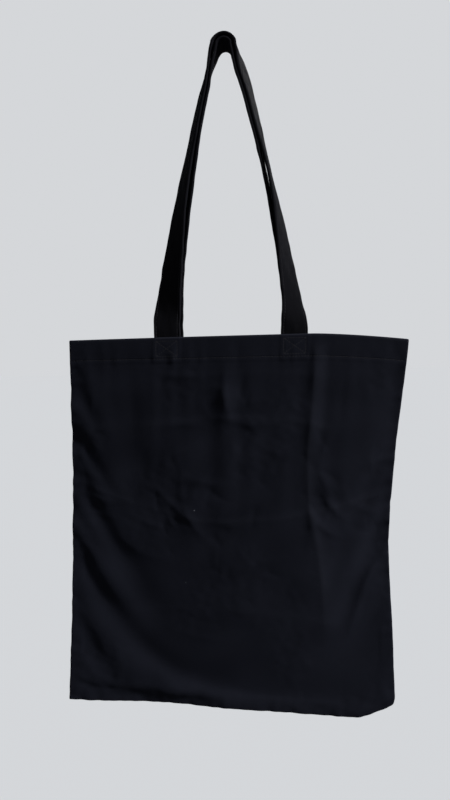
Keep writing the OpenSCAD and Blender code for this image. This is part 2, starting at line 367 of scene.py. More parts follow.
def wrinkle(made, across, depth):
    x, y, length, turn, height, reach = made
    c, s = math.cos(math.radians(turn)), math.sin(math.radians(turn))
    dx, dy = across / MM - x, depth / MM - y
    along, beside = dx * c + dy * s, dy * c - dx * s
    return height * bell(along, length * 0.6) * ridge(beside + 0.004 * along**2, reach, 1.6)


def crumples(seed):
    """Short random wrinkles in patches, in the form of WRINKLES."""
    rng = np.random.default_rng(seed)
    made = []
    for x, y, wide, tall, count, height in CRUMPLED:
        for dx, dy in rng.normal(0, 0.7, (count, 2)):
            length, turn, reach = rng.uniform(9, 24), rng.uniform(0, 180), rng.uniform(2.6, 4)
            own_height = height * rng.choice([-1, 1]) * rng.uniform(0.5, 1.2)
            made.append((x + dx * wide, y + dy * tall, length, turn, own_height, reach))
    return made


CRUMPLES = {FRONT: crumples(91), BACK: crumples(92)}


def shared_relief(across, depth):
    """Creases that go through both panels together. Above 0 is towards the back."""
    free = ease(-5, 45, depth / MM)
    total = -4.6 * tall_crease(across, depth) * free
    for height, points in FOLD_CREASES:
        total = total - height * fold_crease(points, across, depth) * free
    total = total + 1.5 * field(SHARED_SWELL, across, depth) * ease(0, 140, depth / MM)
    return total * MM + settling(0, across, depth, SHARED_SETTLING)


def own_relief(side, across, depth):
    """Folds of one panel by itself. Above 0 is out of the bag."""
    free = ease(2, 60, depth / MM)
    total = 0.9 * field(OWN_SWELL[side], across, depth) * free
    patches = ease(-0.6, 1.6, field(RUMPLE_PATCHES, across * side, depth))
    total = total + 0.16 * field(OWN_RUMPLE[side], across, depth) * patches * ease(25, 40, depth / MM)
    for made in WRINKLES:
        total = total + 1.3 * wrinkle(made, across * -side, depth)
    for made in CRUMPLES[side]:
        total = total + 1.2 * wrinkle(made, across * -side, depth) * ease(24, 40, depth / MM)
    total = total + hem_relief(across, depth)
    for hand in HANDS.values():
        total = total - 0.3 * bell(box_distance(hand, across, depth), 0.8 * MM)
        total = total + 0.35 * strap_patch(hand, across, depth)
    return total * MM + settling(side, across, depth, OWN_SETTLING)


def box_lines(hand):
    """The sides and diagonals of the box stitch over a strap's end, as pairs of (across, depth)."""
    middle = hand * STRAP_X - MOUTH_SHIFT
    half = STRAP_W / 2 - BOX_EDGE
    left, right = middle - half, middle + half
    a, b, c, d = np.array([(left, BOX_TOP), (right, BOX_TOP), (right, BOX_LOW), (left, BOX_LOW)])
    return [(a, b), (b, c), (c, d), (d, a), (a, c), (d, b)]


def box_distance(hand, across, depth):
    nearest = np.full(across.shape, 1.0)
    for start, end in box_lines(hand):
        way = end - start
        dx, dy = across - start[0], depth - start[1]
        t = np.clip((dx * way[0] + dy * way[1]) / (way @ way), 0, 1)
        nearest = np.minimum(nearest, np.hypot(dx - t * way[0], dy - t * way[1]))
    return nearest


def strap_patch(hand, across, depth):
    """1 where a strap's end lies under the hem, with soft edges."""
    beside = np.abs(across - hand * STRAP_X + MOUTH_SHIFT) / MM
    half = STRAP_W / 2 / MM
    return (1 - ease(half - 1, half + 2.5, beside)) * (1 - ease(24, 28, depth / MM))


def hem_relief(across, depth):
    """The hem's stitching pulls a shallow groove, and its layers show as a faint step below it."""
    d = depth / MM
    stitch = HEM_STITCH / MM
    groove = -0.28 * bell(d - stitch, 0.8)
    ripple = 0.13 * field(HEM_RIPPLE, across, depth) * bell(d - stitch - 1, 6)
    step = 0.22 * ease(27.5, 24.5, d)
    puff = 0.15 * bell(d - 12, 7)
    return groove + ripple * ease(0, 6, d) + step + puff


def seam_wiggle(across, depth):
    """Puckers of the side and bottom seams, which move both panels: how far they go across and back."""
    edge, low = (distance / MM for distance in to_seams(across, depth))
    d = depth / MM
    pull, push = np.zeros(d.shape), np.zeros(d.shape)
    for hand, puckers in ((LEFT, LEFT_PUCKERS), (RIGHT, RIGHT_PUCKERS)):
        near = (np.sign(across) == hand) * np.exp(-edge / 16)
        for place, height, reach in puckers:
            bump = near * ridge(d - place, reach, 2)
            push = push - height * bump
            pull = pull - hand * abs(height) * 0.18 * near * ridge(d - place, reach * 0.6, 1.5)
    pull = pull + (across > 0) * 1.8 * np.exp(-edge / 60) * bell(d - 290, 55)
    ripple = field(SEAM_RIPPLE, across, depth) * ease(24, 32, d)
    push = push + 0.34 * ripple * np.exp(-edge / 9)
    foot = field(SEAM_RIPPLE, depth, across) * np.exp(-low / 9)
    push = push + 0.34 * foot * (1 - np.exp(-edge / 6))
    return pull * MM, push * MM


def worn(across, depth):
    """Where the cloth is rubbed paler: along creases, the mouth's fold and the seams."""
    total = 0.5 * tall_crease(across, depth) ** 5
    for height, points in FOLD_CREASES:
        total = total + 0.25 * height * fold_crease(points, across, depth) ** 5
    edge, low = to_seams(across, depth)
    edges = bell(depth, 1.6 * MM) + 0.8 * bell(edge, 2 * MM) + 0.8 * bell(low, 2 * MM)
    return np.clip(total * 0.6 + edges, 0, 1)


# ---- Meshes ----

def object_from(name, points, faces):
    mesh = bpy.data.meshes.new(name)
    mesh.from_pydata(points.reshape(-1, 3).tolist(), [], faces)
    mesh.update()
    mesh.shade_smooth()
    made = bpy.data.objects.new(name, mesh)
    bpy.context.scene.collection.objects.link(made)
    return made


def piece_from(name, parts):
    """One object from parts of (points, faces, each point's place on the flat cloth)."""
    points, faces, places = zip(*parts)
    starts = np.cumsum([0] + [len(part) for part in points]).tolist()
    moved = [[start + i for i in face] for start, part in zip(starts, faces) for face in part]
    made = object_from(name, np.concatenate(points), moved)
    flat = made.data.attributes.new("flat_place", "FLOAT_VECTOR", "POINT")
    flat.data.foreach_set("vector", np.concatenate(places).astype(np.float32).ravel())
    return made


def set_wear(made, values):
    wear = made.data.attributes.new("wear", "FLOAT", "POINT")
    wear.data.foreach_set("value", values.astype(np.float32))


def grid_faces(rows, columns, start=0, flip=False):
    i = start + np.arange((rows - 1) * columns).reshape(rows - 1, columns)[:, :-1].ravel()
    quads = np.stack([i, i + columns, i + columns + 1, i + 1], -1)
    return (quads[:, ::-1] if flip else quads).tolist()


def shell(outer, inner, places):
    """A closed sheet between two grids of points. Rows go down and the outer grid's columns right."""
    rows, columns = outer.shape[:2]
    count = rows * columns
    faces = grid_faces(rows, columns) + grid_faces(rows, columns, count, flip=True)
    top = np.arange(columns)
    side = np.arange(rows) * columns
    rim = np.concatenate([top, side[1:] + columns - 1, top[::-1][1:] + side[-1], side[::-1][1:-1]])
    rim_next = np.roll(rim, -1)
    faces += np.stack([rim, rim_next, rim_next + count, rim + count], -1).tolist()
    points = np.concatenate([outer.reshape(-1, 3), inner.reshape(-1, 3)])
    return points, faces, np.tile(places.reshape(-1, 3), (2, 1))


def rod_faces(rings, sides):
    """The skin and both ends of a rod with so many rings of points."""
    i, j = np.meshgrid(np.arange(rings - 1), np.arange(sides), indexing="ij")
    k = (j + 1) % sides
    quads = np.stack([i * sides + j, i * sides + k, (i + 1) * sides + k, (i + 1) * sides + j], -1)
    last = (rings - 1) * sides
    return quads.reshape(-1, 4).tolist() + [list(range(sides))[::-1], list(range(last, last + sides))]


def tube(name, path, radius, sides=5):
    """A closed round thread along a path."""
    way = unit(np.gradient(path, axis=0))
    normal = np.cross(way[0], (0.3, 0.1, 0.95))
    angle = np.arange(sides)[:, None] * 2 * math.pi / sides
    rings = []
    for point, ahead in zip(path, way):
        normal = unit(normal - (normal @ ahead) * ahead)
        binormal = np.cross(ahead, normal)
        rings.append(point + radius * (np.cos(angle) * normal + np.sin(angle) * binormal))
    run = np.repeat(run_along(path), sides)
    places = np.stack([run, np.tile(np.arange(sides) * radius, len(path)), 0 * run], -1)
    return piece_from(name, [(np.concatenate(rings), rod_faces(len(rings), sides), places)])


def spaced(*stretches):
    """Numbers from stretches of (start, end, largest step), each without its last but for the final one."""
    parts = []
    for start, end, step in stretches:
        parts.append(np.linspace(start, end, max(1, math.ceil(abs(end - start) / step)) + 1)[:-1])
    return np.concatenate([*parts, [stretches[-1][1]]])


# ---- Canvas body ----

def half_columns():
    """Places of the columns from the middle to a seam, closer over a strap's end and near the seam."""
    near = HALF_FLAT - 0.1 * MM
    inner, outer = STRAP_X - STRAP_W / 2 - 7 * MM, STRAP_X + STRAP_W / 2 + 7 * MM
    return spaced(
        (0, inner, 2.4 * MM), (inner, outer, 1.3 * MM), (outer, near - 30 * MM, 2.4 * MM),
        (near - 30 * MM, near - SEAM_ARC, 1.6 * MM), (near - SEAM_ARC, near - 1 * MM, 0.6 * MM),
        (near - 1 * MM, near, 0.25 * MM))


def half_turn(count):
    return np.linspace(0, math.pi, count)


def hem_profile():
    """The canvas from its raw edge to the bottom: (depth, out) of its middle, and the way it faces."""
    turn_r = LAYER / 2
    top_r = LAYER
    top = top_r + CANVAS_T / 2
    low = HEM_DEPTH - turn_r - CANVAS_T / 2
    path = [(d, -LAYER) for d in spaced((9 * MM, low, 4 * MM))[:-1]]
    path += [(low + turn_r * math.sin(a), turn_r * math.cos(a) - 1.5 * LAYER) for a in half_turn(7)]
    path += [(d, -2 * LAYER) for d in spaced((low, top, 1.8 * MM))[1:-1]]
    path += [(top - top_r * math.sin(a), -top_r - top_r * math.cos(a)) for a in half_turn(9)]
    path += [(d, 0) for d in spaced(
        (top, HEM_STITCH - 2 * MM, 1.6 * MM), (HEM_STITCH - 2 * MM, HEM_STITCH + 2 * MM, 0.45 * MM),
        (HEM_STITCH + 2 * MM, 30 * MM, 1.1 * MM), (30 * MM, FLAT_DEPTH - 24 * MM, 2.4 * MM),
        (FLAT_DEPTH - 24 * MM, FLAT_DEPTH - SEAM_ARC, 1.7 * MM),
        (FLAT_DEPTH - SEAM_ARC, FLAT_DEPTH - 1 * MM, 0.6 * MM),
        (FLAT_DEPTH - 1 * MM, FLAT_DEPTH - 0.1 * MM, 0.25 * MM))[1:]]
    middle = np.array(path)
    way = unit(np.gradient(middle, axis=0))
    return middle, np.stack([-way[:, 1], way[:, 0]], -1)


def panel(side_name):
    side = SIDES[side_name]
    half = half_columns()
    across = np.concatenate([-half[::-1], half[1:]])
    middle, face = hem_profile()
    run = run_along(middle)
    grids = []
    for shift in (CANVAS_T / 2, -CANVAS_T / 2):
        line = middle + face * shift
        grids.append(on_cloth(side, across[None, :], line[:, :1], line[:, 1:]))
    outer, inner = grids if side == FRONT else [g[:, ::-1] for g in grids]
    if side == BACK:
        across = across[::-1]
    places = np.stack(np.broadcast_arrays(across[None, :], run[:, None], 0 * run[:, None]), -1)
    made = piece_from(f"{side_name}_canvas", [shell(outer, inner, places)])
    wear = worn(*np.broadcast_arrays(across[None, :], middle[:, :1]))
    set_wear(made, np.tile(wear.ravel(), 2))
    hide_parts(f"{side_name}_panel", f"{side_name}_hem")
    return made


# ---- Cloth simulation ----

SETTLE_STEP = 6 * MM
SETTLE_FRAMES = 24
SETTLE_EDGE = 4 * MM
# Distances from a seam or the mouth over which the cloth becomes free to move
SETTLE_FREE = (5 * MM, 14 * MM)
SPARE_CLOTH = 0.008


def settle_grid():
    columns, rows = int(2 * HALF_FLAT / SETTLE_STEP), int(FLAT_DEPTH / SETTLE_STEP)
    return (np.linspace(-HALF_FLAT + SETTLE_EDGE, HALF_FLAT - SETTLE_EDGE, columns),
            np.linspace(0, FLAT_DEPTH - SETTLE_EDGE, rows))


def settle(side):
    """A coarse panel with some spare cloth, held along its seams and mouth, settles under its own weight."""
    across, depth = settle_grid()
    rest = hanging(side, across[None, :], depth[:, None])
    made = object_from("settling", rest, grid_faces(len(depth), len(across)))
    near = np.minimum(*to_seams(across[None, :], depth[:, None]))
    near = np.minimum(near, depth[:, None] + SETTLE_EDGE)
    held = made.vertex_groups.new(name="held")
    for i, weight in enumerate((1 - ease(*SETTLE_FREE, near)).ravel()):
        held.add([i], float(weight), "REPLACE")
    cloth = made.modifiers.new("cloth", "CLOTH")
    settings = cloth.settings
    settings.quality = 6
    settings.tension_stiffness = settings.compression_stiffness = 15
    settings.shear_stiffness = 6
    settings.bending_stiffness = 2
    settings.vertex_group_mass = "held"
    settings.shrink_min = -SPARE_CLOTH
    cloth.collision_settings.use_collision = False
    cloth.point_cache.frame_start = 1
    cloth.point_cache.frame_end = SETTLE_FRAMES
    for number in range(1, SETTLE_FRAMES + 1):
        bpy.context.scene.frame_set(number)
    done = made.evaluated_get(bpy.context.evaluated_depsgraph_get()).data
    places = np.empty(len(done.vertices) * 3)
    done.vertices.foreach_get("co", places)
    bpy.data.objects.remove(made)
    bpy.context.scene.frame_set(1)
    return (places.reshape(rest.shape) - rest)[..., 1] * (side or 1)


def spline(t):
    """Weights of the four nearest samples of a smooth curve."""
    return (1 - t) ** 3 / 6, (3 * t**3 - 6 * t**2 + 4) / 6, (-3 * t**3 + 3 * t**2 + 3 * t + 1) / 6, t**3 / 6


def settling(side, across, depth, share):
    """How far the simulation took the cloth there, smoothly between its samples."""
    if side not in SETTLED:
        return np.zeros(across.shape)
    grid = SETTLED[side]
    xs, ys = settle_grid()
    x = np.clip((across - xs[0]) / (xs[1] - xs[0]), 0, len(xs) - 1)
    y = np.clip((depth - ys[0]) / (ys[1] - ys[0]), 0, len(ys) - 1)
    i, j = np.floor(x).astype(int), np.floor(y).astype(int)
    total = np.zeros(across.shape)
    for b, down in enumerate(spline(y - j)):
        for a, along in enumerate(spline(x - i)):
            row, column = np.clip(j + b - 1, 0, len(ys) - 1), np.clip(i + a - 1, 0, len(xs) - 1)
            total += down * along * grid[row, column]
    return SETTLING_CAP * np.tanh(total * share / SETTLING_CAP)


# ---- Seam allowances ----

# Distance of the allowances' folded and raw edges from a seam, and of the thread that holds them
ALLOWANCE_FROM = 1.5 * MM
ALLOWANCE_TO = ALLOWANCE_FROM + ALLOWANCE_W
SEAM_THREAD = 5.6 * MM
OVERLOCK_W = 5 * MM
OVERLOCK_PITCH = 2.6 * MM


def seam_place(seam, along, inset):
    """A seam's place as (across, depth): `along` runs down a side seam, or to the right along the bottom."""
    if seam == "bottom":
        return along, FLAT_DEPTH - inset
    return HANDS[seam] * (HALF_FLAT - inset), along


def seam_run(seam):
    if seam == "bottom":
        return -0.9 * HALF_FLAT, 0.84 * HALF_FLAT
    return HEM_DEPTH + 2 * MM, 0.92 * FLAT_DEPTH


def splay(inset):
    """How far the middle of one layer of an allowance stands from the middle between the panels."""
    t = (inset - ALLOWANCE_FROM) / ALLOWANCE_W
    return 0.43 * MM + 0.12 * MM * np.clip(t, 0, 1) ** 2


def allowance(seam):
    start, end = seam_run(seam)
    along = spaced((start, end, 3 * MM))[:, None]
    inset = spaced((ALLOWANCE_FROM, ALLOWANCE_TO, 1.25 * MM))[None, :]
    parts = []
    ragged = 0.35 * MM * field(waves(71, 8, 2.5 * MM, 12 * MM), along, 0 * along)
    inset = inset + ragged * ease(ALLOWANCE_TO - 2 * MM, ALLOWANCE_TO, inset)
    along = along + 0 * inset
    for face in (-1, 1):
        middle = face * splay(inset)
        place = seam_place(seam, along, inset)
        grids = [midway(*place, middle + shift) for shift in (-CANVAS_T / 2, CANVAS_T / 2)]
        grids.append(np.stack([inset, along, 0 * inset], -1))
        if seam != "left":
            grids = [grid[:, ::-1] for grid in grids]
        parts.append(shell(*grids))
    made = piece_from(f"{seam}_allowance", parts)
    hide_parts(f"{seam}_seam_allowance")
    return made


def seam_threads(seam):
    """The seam's row of stitches, on both faces of the allowances."""
    start, end = seam_run(seam)
    along = spaced((start, end, 1 * MM))
    rows = []
    for face in (-1, 1):
        out = face * (splay(SEAM_THREAD) + CANVAS_T / 2)
        points = midway(*seam_place(seam, along, SEAM_THREAD), out)
        rows.append((points, np.tile([0, face, 0], (len(points), 1))))
    return stitched(f"{seam}_seam_thread", f"{seam}_seam_stitching", rows, 2.8 * MM)


def overlock(seam):
    """Thread that goes to and fro over the raw edges of an allowance."""
    start, end = seam_run(seam)
    needle, edge = ALLOWANCE_TO - OVERLOCK_W, ALLOWANCE_TO + 0.25 * MM
    face = splay(ALLOWANCE_TO) + CANVAS_T / 2 + 0.2 * MM
    # One pass: share of the pitch, inset and which face
    turns = [
        (0, needle, -1), (0.25, edge, -1), (0.25, edge, 1),
        (0.5, needle, 1), (0.75, edge, 1), (0.75, edge, -1)]
    count = int((end - start) / OVERLOCK_PITCH)
    along = np.array([start + (i + t[0]) * OVERLOCK_PITCH for i in range(count) for t in turns])
    inset = np.array([t[1] for t in turns] * count)
    back = np.array([t[2] * face for t in turns] * count)
    return tube(f"{seam}_overlock_thread", midway(*seam_place(seam, along, inset), back), 0.18 * MM)


# ---- Thread ----

STITCH_W = 0.55 * MM
STITCH_SIDES = 6
# Places of a stitch's rings, from -1 at one end to 1 at the other, and their share of its width
STITCH_RINGS = np.array([-0.97, -0.8, -0.4, 0, 0.4, 0.8, 0.97])
STITCH_SWELL = np.sqrt(1 - STITCH_RINGS**2) ** 0.7


def sampled(values, run, at):
    """Points or directions known at the distances `run` along a path, read off at the distances `at`."""
    return np.stack([np.interp(at, run, values[:, i]) for i in range(3)], -1)


def stitched(name, node, rows, pitch):
    """Single stitches along rows of (points on the cloth, normals), in place of one node of the frame."""
    angle = np.arange(STITCH_SIDES) * 2 * math.pi / STITCH_SIDES
    one_stitch = rod_faces(len(STITCH_RINGS), STITCH_SIDES)
    size = len(STITCH_RINGS) * STITCH_SIDES
    rng = np.random.default_rng(len(name) * 101 + sum(map(ord, name)))
    parts = []
    for path, normals in rows:
        run = run_along(path)
        count = max(1, round(run[-1] / pitch))
        at = (np.arange(count) + 0.5) * run[-1] / count
        centre = sampled(path, run, at)
        normal = unit(sampled(normals, run, at))
        way = sampled(np.gradient(path, run, axis=0), run, at)
        way = unit(way - (way * normal).sum(-1, keepdims=True) * normal)
        beside = np.cross(way, normal)
        turn = rng.normal(0.06, 0.04, count)[:, None]
        way, beside = way * np.cos(turn) + beside * np.sin(turn), beside * np.cos(turn) - way * np.sin(turn)
        half = run[-1] / count / 2 * rng.uniform(0.86, 0.95, count)[:, None, None, None]
        along = STITCH_RINGS[None, :, None, None] * half
        # Both ends of a stitch dip into the cloth
        lift = (0.30 * (1 - STITCH_RINGS**2) - 0.14)[None, :, None, None] * STITCH_W
        radius = (STITCH_W / 2 * STITCH_SWELL)[None, :, None, None]
        c, s = np.cos(angle)[None, None, :, None], np.sin(angle)[None, None, :, None]
        ring = centre[:, None, None, :] + along * way[:, None, None, :] \
            + (lift + radius * c) * normal[:, None, None, :] + radius * s * beside[:, None, None, :]
        ones = np.ones(ring.shape[:3])
        place = np.stack([along[..., 0] * ones, angle * STITCH_W / 2 * ones, ones * 0], -1)
        faces = [[i * size + j for j in face] for i in range(count) for face in one_stitch]
        parts.append((ring.reshape(-1, 3), faces, place.reshape(-1, 3)))
    made = piece_from(name, parts)
    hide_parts(node)
    return made


def cloth_row(side, across, depth, out, face=1):
    """Points and normals of a row of stitches on a panel's outer face, or on an inner one with face -1."""
    points = on_cloth(side, across, depth, out)
    above = on_cloth(side, across, depth, out + face * 0.5 * MM)
    return points, unit(above - points)


def hem_thread(side_name):
    side = SIDES[side_name]
    end = 0.97 * HALF_FLAT
    across = spaced((-end, end, 1 * MM))
    depth = np.full(across.shape, HEM_STITCH)
    rows = [cloth_row(side, across, depth, CANVAS_T / 2), cloth_row(side, across, depth, HEM_INSIDE, -1)]
    return stitched(f"{side_name}_hem_thread", f"{side_name}_hem_stitching", rows, 3 * MM)


def box_thread(side_name, hand_name):
    """A box with a cross in it, on the outside of the bag and on the strap's end inside."""
    rows = []
    for start, end in box_lines(HANDS[hand_name]):
        t = np.linspace(0, 1, 24)[:, None]
        place = lerp(start, end, t)
        for out, face in ((CANVAS_T / 2, 1), (STRAP_OUT - STRAP_T / 2, -1)):
            rows.append(cloth_row(SIDES[side_name], place[:, 0], place[:, 1], out, face))
    start = f"{side_name}_{hand_name}_box"
    return stitched(f"{start}_thread", f"{start}_stitch", rows, 2.6 * MM)


# ---- Handles ----

# Height above the mouth over which a strap passes from lying on the hem to hanging free
STRAP_FREE = 26 * MM
SWAY = waves(81, 6, 60 * MM, 150 * MM)
STRAP_EDGE = waves(82, 8, 14 * MM, 50 * MM)
STRAP_RUMPLE = {
    FRONT: waves(83, 14, 7 * MM, 26 * MM, (0.7, 1.6)),
    BACK: waves(84, 14, 7 * MM, 26 * MM, (0.7, 1.6)),
}


def leg_stations(hand, k):
    """Middles of the strap stack, ways out of the loop and twists. k runs from 0, the crown, to 1."""
    s, c = math.sin(CROWN_ANGLE), math.cos(CROWN_ANGLE)
    start = np.array([hand * CROWN_R * s, STACK_TOP - CROWN_R + CROWN_R * c])
    end = np.array([hand * STRAP_X, MOUTH_CLEAR - DROP])
    a = start + CROWN_PULL * np.array([hand * c, -s])
    b = end + np.array([0, MOUTH_PULL])

    def curve(t):
        t = np.clip(t, 0, 1)[:, None]
        m = 1 - t
        return m**3 * start + 3 * m * m * t * a + 3 * m * t * t * b + t**3 * end

    p = curve(k)
    way = unit(curve(k + 0.01) - curve(k - 0.01))
    below, degrees = zip(*LEG_TWIST[hand])
    twist = sum(np.interp(-p[:, 1] / MM + shift, below, degrees) for shift in (-8, 0, 8)) / 3
    middle = np.stack([p[:, 0], 0 * k, p[:, 1]], -1)
    out = np.stack([-way[:, 1] * hand, 0 * k, way[:, 0] * hand], -1)
    return middle, out, twist


def crown_stations(angle):
    out = np.stack([np.sin(angle), 0 * angle, np.cos(angle)], -1)
    return np.array([0, 0, STACK_TOP - CROWN_R]) + CROWN_R * out, out, np.full(angle.shape, 90.0)


def loop_stations():
    """Stations from the left end of a handle, over the hook, to its right end."""
    legs = np.linspace(1, 0, 116)[:-1]
    crown = np.linspace(-CROWN_ANGLE, CROWN_ANGLE, 15)
    parts = [leg_stations(LEFT, legs), crown_stations(crown), leg_stations(RIGHT, legs[::-1])]
    return [np.concatenate(values) for values in zip(*parts)]


class Strap:
    """Where each place on a handle's band lies: at a station, a distance w across and n above its middle."""

    def __init__(self, side):
        self.side = side
        middle, out, twist = loop_stations()
        drop = -middle[:, 2] / MM
        low = np.clip((drop - BEHIND_DROP) / (DROP / MM - BEHIND_DROP), 0, 1)
        apart = (MOUTH_GAP / 2 + STRAP_OUT - HANG_IN) * low**1.2
        closer = PINCH_TOGETHER * ease(*CLOSER_DROPS, drop) * (1 - ease(*APART_DROPS, drop))
        aside = (STRAP_T + NEST_GAP - closer) / 2 * (1 - ease(*ASIDE_DROPS, drop))
        free = ease(0, 60, DROP / MM - drop) * ease(0, 60, drop)
        run = run_along(middle)
        sway = 0.7 * MM * field(SWAY, run, 0 * run) * free
        turn = np.radians(twist)[:, None]
        back = np.array([0, 1, 0])
        self.middle = middle + (side * apart + sway)[:, None] * back - (side * aside)[:, None] * out
        self.run = run
        self.across = np.cos(turn) * out + np.sin(turn) * back
        self.face = np.sin(turn) * out - np.cos(turn) * back
        self.ends = np.arange(-HEM_DEPTH + 0.6 * MM, -1 * MM, 2 * MM)

    def sewn(self, hand, height, w, n):
        """Where the band lies on the hem, and straight above it."""
        across = hand * STRAP_X - MOUTH_SHIFT + hand * w
        depth = np.maximum(-height, 1 * MM)
        points = on_cloth(self.side, across, depth, STRAP_OUT - self.side * n)
        points[..., 2] += height + depth
        return points

    def band(self, w, n):
        """Points for all runs along the band, given w and n as one row, or one row for each run."""
        count, e = len(self.run), len(self.ends)
        w, n = (np.broadcast_to(x, (count + 2 * e, np.shape(x)[-1])) for x in (w, n))
        loop_w, loop_n = w[e:e + count], n[e:e + count]
        free = self.middle[:, None] + loop_w[..., None] * self.across[:, None] \
            + loop_n[..., None] * self.face[:, None]
        height = self.middle[:, 2] + DROP
        for hand, half in ((LEFT, slice(0, count // 2)), (RIGHT, slice(count // 2, count))):
            h = height[half][:, None] + 0 * loop_w[half]
            sewn = self.sewn(hand, h, loop_w[half], loop_n[half])
            share = (1 - ease(0, STRAP_FREE, h))[..., None]
            free[half] = lerp(free[half], sewn, share)
        ends = self.ends[:, None] + 0 * w[:e]
        left = self.sewn(LEFT, ends, w[:e], n[:e])
        right = self.sewn(RIGHT, ends[::-1], w[-e:], n[-e:])
        return np.concatenate([left, free, right])

    def all_runs(self):
        return np.concatenate([self.ends, self.run, self.run[-1] - self.ends[::-1]])[:, None]


def band_section():
    """Outline of a band of canvas folded in four, as (w, n). Its right edge shows where two folds meet."""
    r = STRAP_T / 2
    flat = STRAP_W / 2 - r
    seam = flat + 0.25 * r
    fine = STRAP_W / 2 - STRAP_STITCH - 1.2 * MM
    across = spaced((-flat, -fine, 0.4 * MM), (-fine, fine, 1.9 * MM), (fine, flat, 0.4 * MM))
    turn = np.radians([60, 32, 10])
    right = [(flat + r * math.cos(a), r * math.sin(a)) for a in turn]
    right += [(seam, 0)] + [(w, -n) for w, n in right[::-1]]
    left_turn = np.radians([-60, -30, 0, 30, 60])
    left = [(-flat - r * math.cos(a), r * math.sin(a)) for a in left_turn]
    return np.array([(w, r) for w in across] + right + [(w, -r) for w in across[::-1]] + left)


def handle(side_name):
    side = SIDES[side_name]
    strap = Strap(side)
    section = band_section()
    w0, n0 = section[:, 0], section[:, 1]
    face = np.sign(n0) * (np.abs(n0) > 0.99 * STRAP_T / 2)
    run = strap.all_runs()
    uneven = field(STRAP_EDGE, run, np.sign(w0)[None, :] * 0.1) * np.sign(w0)
    uneven = uneven * ease(5 * MM, STRAP_W / 2, np.abs(w0))
    rumple = field(STRAP_RUMPLE[side], w0[None, :] + 0 * run, run)
    from_edge = STRAP_W / 2 - np.abs(w0)
    stitch = bell(from_edge - STRAP_STITCH, 0.7 * MM)
    puff = bell(from_edge - 1.4 * MM, 1.2 * MM)
    relief = 0.1 * MM * rumple - 0.3 * MM * stitch + 0.12 * MM * puff
    points = strap.band(w0 + 0.3 * MM * uneven, n0 + face * relief)
    places = np.stack(np.broadcast_arrays(run_along(section)[None, :], run, 0 * run), -1)
    faces = rod_faces(len(points), len(section))
    made = piece_from(f"{side_name}_strap", [(points.reshape(-1, 3), faces, places.reshape(-1, 3))])
    set_wear(made, np.tile(bell(from_edge, 1.2 * MM), len(points)))
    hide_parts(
        f"{side_name}_handle_strap", f"{side_name}_left_strap_end", f"{side_name}_right_strap_end")
    return made


def handle_thread(side_name):
    """Rows of stitches near both edges of a handle, on both of its faces."""
    strap = Strap(SIDES[side_name])
    edge = STRAP_W / 2 - STRAP_STITCH
    low = STRAP_T / 2 - 0.3 * MM
    rows = []
    for w in (-edge, edge):
        for face in (-1, 1):
            points = strap.band(np.array([w]), np.array([face * low]))[:, 0]
            above = strap.band(np.array([w]), np.array([face * (low + MM)]))[:, 0]
            rows.append((points, unit(above - points)))
    return stitched(f"{side_name}_strap_thread", f"{side_name}_handle_stitching", rows, 3 * MM)


def swings(made):
    """Bakes the piece's placement into its mesh."""
    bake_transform(made)


# ---- Materials ----

class Nodes:
    """Builds a material's node tree with short calls."""

    def __init__(self, name):
        self.material = bpy.data.materials.new(name)
        self.material.use_nodes = True
        self.tree = self.material.node_tree
        self.shader = self.tree.nodes["Principled BSDF"]

    def add(self, kind, **settings):
        node = self.tree.nodes.new("ShaderNode" + kind)
        for key, value in settings.items():
            setattr(node, key, value)
        return node

    def feed(self, socket, value):
        if isinstance(value, bpy.types.NodeSocket):
            self.tree.links.new(value, socket)
        else:
            socket.default_value = value

    def fill(self, node, **values):
        """Feeds the node's inputs, each by its name with a _ for a space."""
        for name, value in values.items():
            self.feed(node.inputs[name.replace("_", " ")], value)

    def set(self, **values):
        self.fill(self.shader, **values)

    def math(self, operation, *values):
        node = self.add("Math", operation=operation)
        for socket, value in zip(node.inputs, values):
            self.feed(socket, value)
        return node.outputs[0]

    def vector(self, name):
        return self.add("Attribute", attribute_name=name).outputs["Vector"]

    def value(self, name):
        return self.add("Attribute", attribute_name=name).outputs["Fac"]

    def noise(self, place, scale, detail=3, roughness=0.5):
        node = self.add("TexNoise")
        self.fill(node, Vector=place, Scale=scale, Detail=detail, Roughness=roughness)
        return node.outputs["Fac"]

    def range(self, value, low, high, new_low=0.0, new_high=1.0):
        node = self.add("MapRange", clamp=True)
        for socket, x in zip(node.inputs, (value, low, high, new_low, new_high)):
            self.feed(socket, x)
        return node.outputs[0]

    def mix(self, share, a, b):
        node = self.add("Mix", data_type="RGBA")
        self.fill(node, Factor=share)
        for socket, colour in zip((s for s in node.inputs if s.type == "RGBA"), (a, b)):
            self.feed(socket, colour)
        return next(s for s in node.outputs if s.type == "RGBA")

    def axes(self, place):
        """The two coordinates of a place on flat cloth."""
        node = self.add("SeparateXYZ")
        self.fill(node, Vector=place)
        return node.outputs[:2]

    def weave(self, place, pitch):
        """Height of a plain weave: each thread goes over one and under the next."""
        turns = [self.math("MULTIPLY", axis, math.pi / pitch) for axis in self.axes(place)]
        threads = [self.math("COSINE", turn) for turn in turns]
        over = self.math("MULTIPLY", *threads)
        heights = []
        for thread, share in zip(threads, (0.4, -0.4)):
            lift = self.math("MULTIPLY_ADD", over, share, 0.6)
            heights.append(self.math("MULTIPLY", self.math("ABSOLUTE", thread), lift))
        return self.math("MAXIMUM", *heights)

    def bump(self, height, distance, strength=1.0, below=None):
        node = self.add("Bump")
        self.fill(node, Height=height, Distance=distance, Strength=strength)
        if below is not None:
            self.fill(node, Normal=below)
        return node.outputs["Normal"]


WEAVE_PITCH = 0.62 * MM
THREAD_PLY = 0.35 * MM
